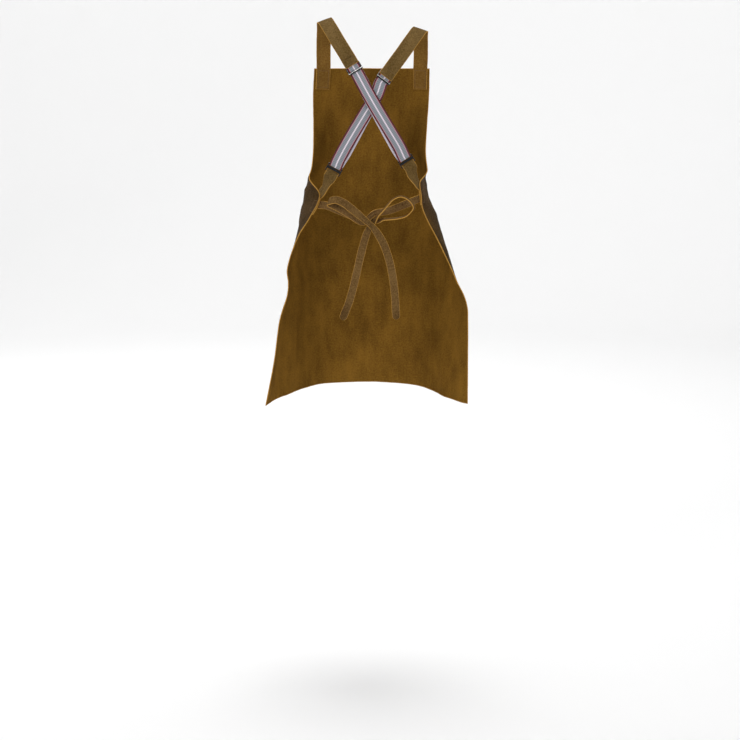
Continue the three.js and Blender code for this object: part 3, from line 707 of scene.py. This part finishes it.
height = np.zeros(middle.shape[:2])
for side, from_edge, depth, slope, length, spread, rise in CREASES:
    level = np.argmin(np.abs(down_place[:, centre_column] - depth * MM))
    edge_place = across_place[level, 0] if side < 0 else across_place[level, -1]
    start = edge_place - side * from_edge * MM
    inward, lower = -side * math.cos(math.radians(slope)), math.sin(math.radians(slope))
    right, below = across_place - start, down_place - depth * MM
    along = (right * inward + below * lower) / (length * MM)
    beside = (right * lower - below * inward) / (spread * MM * (CREASE_START_WIDE + np.clip(along, 0, 1)))
    taper = ease_between(0, CREASE_FULL[0], along) * (1 - ease_between(CREASE_FULL[1], 1.0, along))
    height += rise * MM * taper * np.exp(-beside * beside)
flat_place = np.dstack([across_place, down_place, np.zeros_like(across_place)])
swell = wander(flat_place * (1, UNDULATION_STRETCH, 1), UNDULATIONS_PER_METRE, 1)
height += UNDULATION * swell * ease_between(0, UNDULATION_BELOW_TOP, down_place)
height += ROLL * wander(flat_place, ROLLS_PER_METRE, 2)
hem_near = ease_between(HEM_ROLL_REACH, 0.0, down_place[[-1]] - down_place)
height += HEM_ROLL * hem_near * wander(flat_place * (1, HEM_ROLL_STRETCH, 1), HEM_ROLLS_PER_METRE, 3)
height *= ease_between(*FADE_FROM_SIDE, to_side)
middle = middle + out * height[..., None]
print("creases stand from", round(height.min() / MM, 1), "to", round(height.max() / MM, 1), "mm")

# %% [markdown]
# The hide's two faces are laid on either side of the middle surface, and a strip of five rows rounds the raw
# edge between them all the way round. Numbering the points keeps the mesh closed and lets the masks
# and the UV map be written as whole arrays.

# %% Mesh helpers
def paint_mask(mesh, name, values):
    """A number at every point of the mesh, for its material to read."""
    mask = mesh.attributes.new(name, "FLOAT", "POINT")
    mask.data.foreach_set("value", np.asarray(values, np.float32).ravel())


def mesh_from(name, points, faces, metres, inner_side, cut_edge):
    """A closed, smooth mesh with its UV map and its two masks."""
    points, faces = np.asarray(points), np.asarray(faces)
    corner = [points[faces[:, k]] for k in range(4)]
    volume = (np.sum(np.cross(corner[0], corner[1]) * corner[2])
              + np.sum(np.cross(corner[0], corner[2]) * corner[3]))
    if volume < 0:
        faces = faces[:, ::-1]
    mesh = bpy.data.meshes.new(name)
    mesh.from_pydata(points.tolist(), [], faces.tolist())
    mesh.shade_smooth()
    paint_mask(mesh, "inner_side", inner_side)
    paint_mask(mesh, "cut_edge", cut_edge)
    loops = np.zeros(len(mesh.loops), np.int32)
    mesh.loops.foreach_get("vertex_index", loops)
    layer = mesh.uv_layers.new(name="metres")
    layer.uv.foreach_set("vector", np.asarray(metres, np.float32)[loops].ravel())
    return mesh


def grid_faces(index):
    """Four-sided faces between neighbouring rows and columns of a table of point numbers."""
    return np.stack([index[:-1, :-1], index[:-1, 1:], index[1:, 1:], index[1:, :-1]], axis=-1).reshape(-1, 4)


def add_piece(name, mesh, material, slot, *nodes):
    """A finished piece that rides on the one body and stands for its node."""
    mesh.materials.append(material)
    piece = bpy.data.objects.new(name, mesh)
    scene.collection.objects.link(piece)
    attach(piece, "root")
    if nodes:
        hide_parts(*nodes)
    print(name, len(mesh.polygons), "faces")
    return piece


print("mesh helpers ready")

# %% Shell of the sheet
EDGE_ROUND = 0.55 * MM
EDGE_RAGGED, EDGE_TEARS_PER_METRE = 0.35 * MM, 70.0
EDGE_ROWS = 5
EDGE_PALE = 0.78
EDGE_PALE_REACH = 1.6 * MM

rows, columns_fine = middle.shape[:2]
number = np.arange(rows * columns_fine).reshape(rows, columns_fine)
rim = np.concatenate([number[0, :-1], number[:-1, -1], number[-1, :0:-1], number[:0:-1, 0]])
flat_middle, flat_out = middle.reshape(-1, 3), out.reshape(-1, 3)
rim_points = flat_middle[rim]
rim_along = unit(np.roll(rim_points, -1, axis=0) - np.roll(rim_points, 1, axis=0))
rim_out = unit(np.cross(rim_along, flat_out[rim]))
inward = flat_middle[number[rows // 2, centre_column]] - rim_points
rim_out *= np.sign(np.median(np.sum(-inward * rim_out, axis=1)))
ragged = EDGE_RAGGED * wander(rim_points, EDGE_TEARS_PER_METRE, 4)[:, None]
flat_middle[rim] += rim_out * (ragged - EDGE_ROUND)

half = sheet["thick"] / 2
points = [flat_middle + flat_out * half, flat_middle - flat_out * half]
total = 2 * len(flat_middle)
loops = [rim]
for row in range(EDGE_ROWS):
    angle = math.pi * (row + 1) / (EDGE_ROWS + 1)
    bulge = EDGE_ROUND * math.sin(angle) ** 0.5
    points.append(flat_middle[rim] + rim_out * bulge + flat_out[rim] * half * math.cos(angle))
    loops.append(total + row * len(rim) + np.arange(len(rim)))
loops.append(rim + len(flat_middle))
strip = np.array([np.append(loop, loop[0]) for loop in loops])
faces = [grid_faces(number), grid_faces(number)[:, ::-1] + len(flat_middle), grid_faces(strip)]

edge_count = EDGE_ROWS * len(rim)
pale = np.exp(-to_rim.ravel() / EDGE_PALE_REACH) * EDGE_PALE
inner_side = np.concatenate([np.zeros(len(flat_middle)), np.ones(len(flat_middle)),
                             np.repeat(np.linspace(0, 1, EDGE_ROWS), len(rim))])
cut_edge = np.concatenate([pale, pale, np.ones(edge_count)])
metres = np.stack([across_place.ravel(), down_place.ravel()], axis=1)
side_counts = (columns_fine - 1, rows - 1, columns_fine - 1, rows - 1)
off_the_edge = np.repeat([(0, -1), (1, 0), (0, 1), (-1, 0)], side_counts, axis=0)
depths = sheet["thick"] * np.arange(1, EDGE_ROWS + 1) / (EDGE_ROWS + 1)
metres = np.concatenate([metres, metres] + [metres[rim] + off_the_edge * depth for depth in depths])
panel_mesh = mesh_from("apron_panel_leather", np.concatenate(points), np.concatenate(faces),
                       metres, inner_side, cut_edge)
panel = add_piece("apron_panel_leather", panel_mesh, panel_leather, "panel_leather", "apron_panel")
outer_side = BVHTree.FromPolygons(points[0].tolist(), grid_faces(number).tolist())

# %% [markdown]
# ## Straps, tabs and ties
#
# All the leather bands are cut from the same hide: a flat section with a small round on its four corners,
# carried along the middle line. Where the knot squeezes a tie, the leather has to buckle lengthwise, so the
# section gets ridges that grow as the band gets narrower. A band is also never quite straight at its edges.

# %% Section of a band
INNER_CELLS = 10
CORNER_CELLS = 3
MARGINS = (0.8 * MM, 1.8 * MM, 3.2 * MM)


def band_section(width, thick, corner):
    """Points round a flat section: place across, height out of the face, and how much is cut edge."""
    corner = min(corner, 0.45 * thick, 0.4 * width)
    reach, rise = width / 2 - corner, thick / 2 - corner
    margin = [reach] + [reach - min(m, 0.06 * width * (k + 1)) for k, m in enumerate(MARGINS)]
    flat = np.concatenate([margin[:-1], np.linspace(margin[-1], -margin[-1], INNER_CELLS + 1),
                           [-place for place in margin[-2::-1]]])
    places = [(place, thick / 2, 0.0) for place in flat]
    turn = [math.pi / 2 * k / CORNER_CELLS for k in range(1, CORNER_CELLS + 1)]
    left = [(-reach - corner * math.sin(a), rise + corner * math.cos(a), 1.0) for a in turn]
    left += [(-reach - corner * math.cos(a), -rise - corner * math.sin(a), 1.0) for a in [0] + turn[:-1]]
    places += left
    places += [(-place, -thick / 2, 0.0) for place in flat]
    places += [(-across, -height, 1.0) for across, height, _ in left]
    return np.array(places)


print("a band's section has", len(band_section(0.018, 0.002, 0.0005)), "points")

# %% Band along its middle line
CORNER_ROUND = 0.5 * MM
EDGE_WAVER, EDGE_WAVES_PER_METRE = 0.25 * MM, 60.0
PINCH_RIDGES = 2
PINCH_HEIGHT = 4.2 * MM
RIDGE_SWAY, RIDGE_SWAYS_PER_METRE = 2.0, 40.0
CUP = 0.012
TIP_STEPS = 13
TIP_LEAST_WIDTH = 0.3 * MM


def no_rise(at, share, outer):
    """A plain band has no extra height anywhere."""
    return np.zeros_like(share)


def fine_band(band, step, round_tip=False):
    """The band's rings at close, even places along its middle line."""
    places = walked(band["middle"])
    length = places[-1]
    at = np.linspace(0, length, int(length / step) + 1)
    width = smooth_through(places, band["width"], at)
    if round_tip:
        radius = band["width"].max() / 2
        sweep = np.linspace(0, math.pi / 2, TIP_STEPS + 1)[1:]
        at = np.concatenate([at[at < length - radius], length - radius * (1 - np.sin(sweep))])
        width = smooth_through(places, band["width"], at)
        width[-len(sweep):] = np.maximum(2 * radius * np.cos(sweep), TIP_LEAST_WIDTH)
    line = smooth_through(places, band["middle"], at)
    along = unit(np.gradient(line, at, axis=0))
    across = smooth_through(places, band["across"], at)
    across = unit(across - along * np.sum(across * along, axis=1, keepdims=True))
    face = np.cross(along, across)
    face *= np.sign(np.sum(face * smooth_through(places, band["out"], at), axis=1, keepdims=True))
    return {"at": at, "middle": line, "across": across, "out": face, "width": width, "thick": band["thick"],
            "full": band["width"].max(), "pale": EDGE_PALE, "rise": no_rise}


def band_mesh(name, fine, corner=CORNER_ROUND, seed=0):
    """A closed band. Its rise gives an extra height out of the face."""
    rings, masks, sides, metres = [], [], [], []
    wobble = EDGE_WAVER * wander(fine["middle"], EDGE_WAVES_PER_METRE, seed)
    for i, at in enumerate(fine["at"]):
        width = fine["width"][i]
        section = band_section(width, fine["thick"], corner)
        share = section[:, 0] / (width / 2)
        pinch = max(0.0, 1 - width / fine["full"]) if at < fine["at"][-1] - fine["full"] else 0.0
        sway = RIDGE_SWAY * math.sin(RIDGE_SWAYS_PER_METRE * at + seed)
        ridge = np.cos(math.pi * PINCH_RIDGES * share + sway)
        out_by = section[:, 1] + PINCH_HEIGHT * pinch * ridge - CUP * width * share ** 2
        out_by += fine["rise"](at, share, section[:, 1] > 0)
        across_by = section[:, 0] + wobble[i] * share
        beside = fine["middle"][i] + across_by[:, None] * fine["across"][i]
        rings.append(beside + out_by[:, None] * fine["out"][i])
        to_edge = width / 2 - np.abs(section[:, 0])
        masks.append(np.maximum(section[:, 2], fine["pale"] * np.exp(-to_edge / EDGE_PALE_REACH)))
        sides.append((section[:, 1] < 0).astype(float))
        down_the_edge = section[:, 2] * (fine["thick"] / 2 - section[:, 1]) * np.sign(section[:, 0])
        metres.append(np.stack([section[:, 0] + down_the_edge, np.full(len(section), at)], axis=1))
    count = len(rings[0])
    number = np.arange(len(rings) * count).reshape(len(rings), count)
    faces = [grid_faces(np.concatenate([number, number[:, :1]], axis=1))]
    masks = np.array(masks)
    masks[[0, -1]] = 1.0
    half = count // 2
    for ring in (number[0], number[-1][::-1]):
        outward, back = ring[:half], ring[half:][::-1]
        faces.append(grid_faces(np.stack([outward, back])))
    return mesh_from(name, np.concatenate(rings), np.concatenate(faces), np.concatenate(metres),
                     np.concatenate(sides), masks.ravel())


print("band maker ready")

# %% Shoulder straps
STRAP_STEP = 0.8 * MM
WEBBING_LAP = (20 * MM, 22.5 * MM)
LAP_LIFT = 0.55 * MM
WELT_PLACE, WELT_SPREAD = 22 * MM, 2.1 * MM
GROOVE_PLACE, GROOVE_SPREAD = 18.2 * MM, 1.8 * MM
WELT_HEIGHT = {"left": 2.4 * MM, "right": 0.0}
GROOVE_SHARE = 0.7
WELT_ENDS = (0.8, 0.55)


def strap_rise(welt_height):
    """The strap stands up over the elastic, and may have a short welt and a groove where the elastic ends."""
    def rise(at, share, outer):
        lap = LAP_LIFT * (1 - ease_between(*WEBBING_LAP, at))
        ridge = math.exp(-((at - WELT_PLACE) / WELT_SPREAD) ** 2)
        groove = math.exp(-((at - GROOVE_PLACE) / GROOVE_SPREAD) ** 2)
        welt = welt_height * (ridge - GROOVE_SHARE * groove * outer)
        return lap + welt * ease_between(*WELT_ENDS, np.abs(share))
    return rise


fine = {}
for seed, side in enumerate(("left", "right")):
    node = "shoulder_strap_" + side
    fine[node] = fine_band(bands[node], STRAP_STEP)
    fine[node]["rise"] = strap_rise(WELT_HEIGHT[side])
    add_piece(node + "_leather", band_mesh(node + "_leather", fine[node], seed=10 + seed),
              strap_leather, "strap_leather", node)
    print(node, "is", round(fine[node]["at"][-1] / MM), "mm long")

# %% Tabs
TAB_STEP = 0.8 * MM
PRESS_BELOW_FOLD = 8 * MM
PRESS_SPREAD = 1.1 * MM
PRESS_DEPTH = {"left": 0.25 * MM, "right": 0.8 * MM}


def tab_rise(fold_place, depth):
    """A groove across the tab, where it is pressed together under the loop's bar."""
    def rise(at, share, outer):
        pressed = math.exp(-((at - fold_place - PRESS_BELOW_FOLD) / PRESS_SPREAD) ** 2)
        return -depth * pressed * np.ones_like(share)
    return rise


for seed, side in enumerate(("left", "right")):
    node = "side_tab_" + side
    fine[node] = fine_band(bands[node], TAB_STEP)
    fine[node]["full"] = 0.0
    fold_place = fine[node]["at"][np.argmax(fine[node]["middle"][:, 2])]
    fine[node]["rise"] = tab_rise(fold_place, PRESS_DEPTH[side])
    add_piece(node + "_leather", band_mesh(node + "_leather", fine[node], seed=20 + seed),
              strap_leather, "strap_leather", node)
    print(node, "is", round(fine[node]["at"][-1] / MM), "mm long")

# %% Ties with their bow
TIE_STEP = 2.0 * MM
TIE_EDGE_PALE = 0.66

for seed, side in enumerate(("left", "right")):
    node = "waist_tie_" + side
    fine[node] = fine_band(bands[node], TIE_STEP, round_tip=True)
    fine[node]["pale"] = TIE_EDGE_PALE
    tie = add_piece(node + "_leather", band_mesh(node + "_leather", fine[node], seed=30 + seed),
                    tie_leather, "tie_leather", node)
    length = float(fine[node]["at"][-1])
    print(node, "is", round(length / MM), "mm long")

# %% [markdown]
# ## Elastic bands
#
# The elastic is thin and keeps its width, so it is the same kind of band with a softer edge. It runs from
# under the strap through the slider, down to the loop, round its bar and back up behind itself.

# %% Woven bands
WEBBING_STEP = 1.4 * MM
WEBBING_CORNER = 0.4 * MM

for seed, side in enumerate(("left", "right")):
    node = "back_webbing_" + side
    fine[node] = fine_band(bands[node], WEBBING_STEP)
    fine[node]["full"] = 0.0
    add_piece(node + "_woven", band_mesh(node + "_woven", fine[node], WEBBING_CORNER, seed=40 + seed),
              elastic, "elastic_webbing", node)
    print(node, "is", round(fine[node]["at"][-1] / MM), "mm long")

# %% [markdown]
# ## Metal fittings
#
# Sliders and loops are flat stampings with two slots. Their outline in the frame is right, but real ones have
# tumbled edges that catch the light. The triangles of each flat face are joined to one face first, and then
# a small bevel runs along every sharp edge.

# %% Bevelled fittings
FITTING_BEVEL = 0.6 * MM
BEVEL_SEGMENTS = 3
SHARP_DEGREES = 40
FLAT_ANGLE = math.radians(1)
SLANTED = (0.1, 0.985)
LOOKS_UP = 0.3


def plain_mesh(piece):
    """The piece's mesh with its modifiers worked in."""
    evaluated = piece.evaluated_get(bpy.context.evaluated_depsgraph_get())
    mesh = bpy.data.meshes.new_from_object(evaluated)
    piece.modifiers.clear()
    return mesh


for node in ("strap_slider_left", "strap_slider_right", "strap_loop_left", "strap_loop_right"):
    net = merged_copy(node)
    mesh = bpy.data.meshes.new(node + "_metal")
    bmesh.ops.recalc_face_normals(net, faces=net.faces)
    bmesh.ops.dissolve_limit(net, angle_limit=FLAT_ANGLE, verts=net.verts, edges=net.edges)
    net.to_mesh(mesh)
    net.free()
    blank = bpy.data.objects.new(node + "_blank", mesh)
    scene.collection.objects.link(blank)
    bevel = blank.modifiers.new("tumbled edges", "BEVEL")
    bevel.width = FITTING_BEVEL
    bevel.segments = BEVEL_SEGMENTS
    bevel.use_clamp_overlap = False
    bevel.limit_method = "ANGLE"
    bevel.angle_limit = math.radians(SHARP_DEGREES)
    finished = plain_mesh(blank)
    bpy.data.objects.remove(blank)
    finished.name = node + "_metal"
    finished.materials.clear()
    finished.shade_smooth()
    finished.set_sharp_from_angle(angle=math.radians(SHARP_DEGREES))
    plate_way = max(finished.polygons, key=lambda face: face.area).normal.copy()
    # Painted highlight: the slanted faces that look up are marked for bright steel, and the rest stays black.
    kept_black = set()
    for face in finished.polygons:
        lean = abs(face.normal.dot(plate_way))
        if face.normal.z < LOOKS_UP or not SLANTED[0] < lean < SLANTED[1]:
            kept_black.update(face.vertices)
    paint_mask(finished, "rubbed_edge", [point not in kept_black for point in range(len(finished.vertices))])
    # On sliders, the measure up the plate places the strip of painted highlight on the low bar.
    corners = np.array([point.co for point in finished.vertices])
    ways = np.linalg.svd(corners - corners.mean(axis=0), full_matrices=False)[2]
    up = corners @ (ways[1] * np.sign(ways[1][2]))
    paint_mask(finished, "up_the_plate", (up - up.min()) * float("slider" in node))
    add_piece(node + "_metal", finished, dark_metal, "dark_metal", node)

# %% [markdown]
# ## Stitches
#
# The leather is sewn with a lockstitch: short, slightly sunk grains of thread in a row. A node tree lays one
# stitch at even distances along a drawn line and turns it to follow the line. Its sizes are named inputs, so
# the same tree sews every seam, and the result is kept as a plain mesh.

# %% Stitch tree
def stitch_tree():
    tree = bpy.data.node_groups.new("Stitch line", "GeometryNodeTree")
    sockets = {}
    for label, kind in (("Seam", "Geometry"), ("Pitch", "Float"), ("Stitch Length", "Float"),
                        ("Thread Width", "Float"), ("Thread", "Material")):
        socket = tree.interface.new_socket(label, in_out="INPUT", socket_type="NodeSocket" + kind)
        sockets[label] = socket.identifier
    tree.interface.new_socket("Stitches", in_out="OUTPUT", socket_type="NodeSocketGeometry")
    given = tree.nodes.new("NodeGroupInput").outputs
    result = tree.nodes.new("NodeGroupOutput").inputs
    line = add_node(tree, "GeometryNodeMeshToCurve")
    feed(tree, line.inputs["Mesh"], given["Seam"])
    even = add_node(tree, "GeometryNodeResampleCurve", mode="LENGTH")
    feed(tree, even.inputs["Curve"], line.outputs["Curve"])
    feed(tree, even.inputs["Length"], given["Pitch"])
    ball = add_node(tree, "GeometryNodeMeshUVSphere")
    ball.inputs["Segments"].default_value = 8
    ball.inputs["Rings"].default_value = 6
    ball.inputs["Radius"].default_value = 0.5
    size = add_node(tree, "ShaderNodeCombineXYZ")
    for axis, label in (("X", "Stitch Length"), ("Y", "Thread Width"), ("Z", "Thread Width")):
        feed(tree, size.inputs[axis], given[label])
    grain = add_node(tree, "GeometryNodeTransform")
    feed(tree, grain.inputs["Geometry"], ball.outputs["Mesh"])
    feed(tree, grain.inputs["Scale"], size.outputs["Vector"])
    turn = add_node(tree, "FunctionNodeAlignRotationToVector", axis="X")
    feed(tree, turn.inputs["Vector"], add_node(tree, "GeometryNodeInputTangent").outputs["Tangent"])
    sown = add_node(tree, "GeometryNodeInstanceOnPoints")
    feed(tree, sown.inputs["Points"], even.outputs["Curve"])
    feed(tree, sown.inputs["Instance"], grain.outputs["Geometry"])
    feed(tree, sown.inputs["Rotation"], turn.outputs["Rotation"])
    real = add_node(tree, "GeometryNodeRealizeInstances")
    feed(tree, real.inputs["Geometry"], sown.outputs["Instances"])
    painted = add_node(tree, "GeometryNodeSetMaterial")
    feed(tree, painted.inputs["Geometry"], real.outputs["Geometry"])
    feed(tree, painted.inputs["Material"], given["Thread"])
    feed(tree, result["Stitches"], painted.outputs["Geometry"])
    return tree, sockets


stitching, stitch_sockets = stitch_tree()
print("stitch tree takes", ", ".join(stitch_sockets))

# %% Sew a set of seams
PITCH = 3.1 * MM
STITCH_LENGTH = 2.5 * MM
THREAD_WIDTH = 0.75 * MM
SEAM_POINTS = 9
BOX_REACH = 0.74
ROW_REACH = 0.86


def sew(name, seams, slot):
    """One piece of stitches along seams, each a line of points on a surface."""
    points, edges = [], []
    for seam in seams:
        edges += [(len(points) + k, len(points) + k + 1) for k in range(len(seam) - 1)]
        points += [tuple(point) for point in seam]
    mesh = bpy.data.meshes.new(name + "_seams")
    mesh.from_pydata(points, edges, [])
    drawn = bpy.data.objects.new(name + "_seams", mesh)
    scene.collection.objects.link(drawn)
    sewing = drawn.modifiers.new("stitches", "NODES")
    sewing.node_group = stitching
    for label, value in (("Pitch", PITCH), ("Stitch Length", STITCH_LENGTH), ("Thread Width", THREAD_WIDTH),
                         ("Thread", thread)):
        sewing[stitch_sockets[label]] = value
    finished = plain_mesh(drawn)
    bpy.data.objects.remove(drawn)
    finished.name = name
    finished.materials.clear()
    finished.shade_smooth()
    add_piece(name, finished, thread, slot)


def on_band(node, at, across_share, side):
    """A point on a band's face: side is 1 on the good side and -1 on the other."""
    band = fine[node]
    value = lambda key: smooth_through(band["at"], band[key], [at])[0]
    width = value("width")
    rise = band["rise"](at, np.array([across_share]), side > 0)[0] - CUP * width * across_share ** 2
    return (value("middle") + value("across") * across_share * width / 2
            + value("out") * (side * band["thick"] / 2 + rise))


def box_seam(node, start, end, side):
    """A closed box of stitches on a band between two places along it."""
    steps = np.linspace(0, 1, SEAM_POINTS)[:-1]
    near, far = -BOX_REACH, BOX_REACH
    corners = [(start, near), (start, far), (end, far), (end, near), (start, near)]
    seam = []
    for (at, across), (next_at, next_across) in zip(corners, corners[1:]):
        along, aside = next_at - at, next_across - across
        seam += [on_band(node, at + along * t, across + aside * t, side) for t in steps]
    return seam + [seam[0]]


def cross_seam(node, at, side):
    """A row of stitches straight across a band."""
    return [on_band(node, at, share, side) for share in np.linspace(-ROW_REACH, ROW_REACH, SEAM_POINTS)]


def through_hide(seam):
    """The same seam where it comes out on the hide's outer side."""
    return [outer_side.find_nearest(Vector(point))[0] for point in seam]


print("sewing ready")

# %% [markdown]
# The straps are sewn inside the bib's top corners with a box of stitches, and each strap's end is sewn over
# the elastic with two rows. At the waist corner one box holds the tie and another the tab that lies under it.
# Thread that goes through the hide shows on its outer side as well.

# %% Seams
SEAM_FROM_END = 5 * MM
STRAP_LAP_ON_BIB = 48 * MM
ROWS_OVER_ELASTIC = (4.5 * MM, 17 * MM)
TAB_LAP = 38 * MM
TIE_LAP = 25 * MM

for side in ("left", "right"):
    strap, tab, tie = "shoulder_strap_" + side, "side_tab_" + side, "waist_tie_" + side
    end = fine[strap]["at"][-1]
    bib_box = box_seam(strap, end - STRAP_LAP_ON_BIB + SEAM_FROM_END, end - SEAM_FROM_END, 1)
    inner_box = box_seam(strap, end - STRAP_LAP_ON_BIB + SEAM_FROM_END, end - SEAM_FROM_END, -1)
    rows_over = [cross_seam(strap, at, 1) for at in ROWS_OVER_ELASTIC]
    sew("strap_stitches_" + side, [inner_box, through_hide(bib_box)] + rows_over, "strap_leather")
    end = fine[tab]["at"][-1]
    tab_box = box_seam(tab, end - TAB_LAP + SEAM_FROM_END, end - SEAM_FROM_END, 1)
    tie_box = box_seam(tie, SEAM_FROM_END, TIE_LAP - SEAM_FROM_END, 1)
    sew("ear_stitches_" + side, [tie_box, through_hide(tab_box)], "tie_leather")
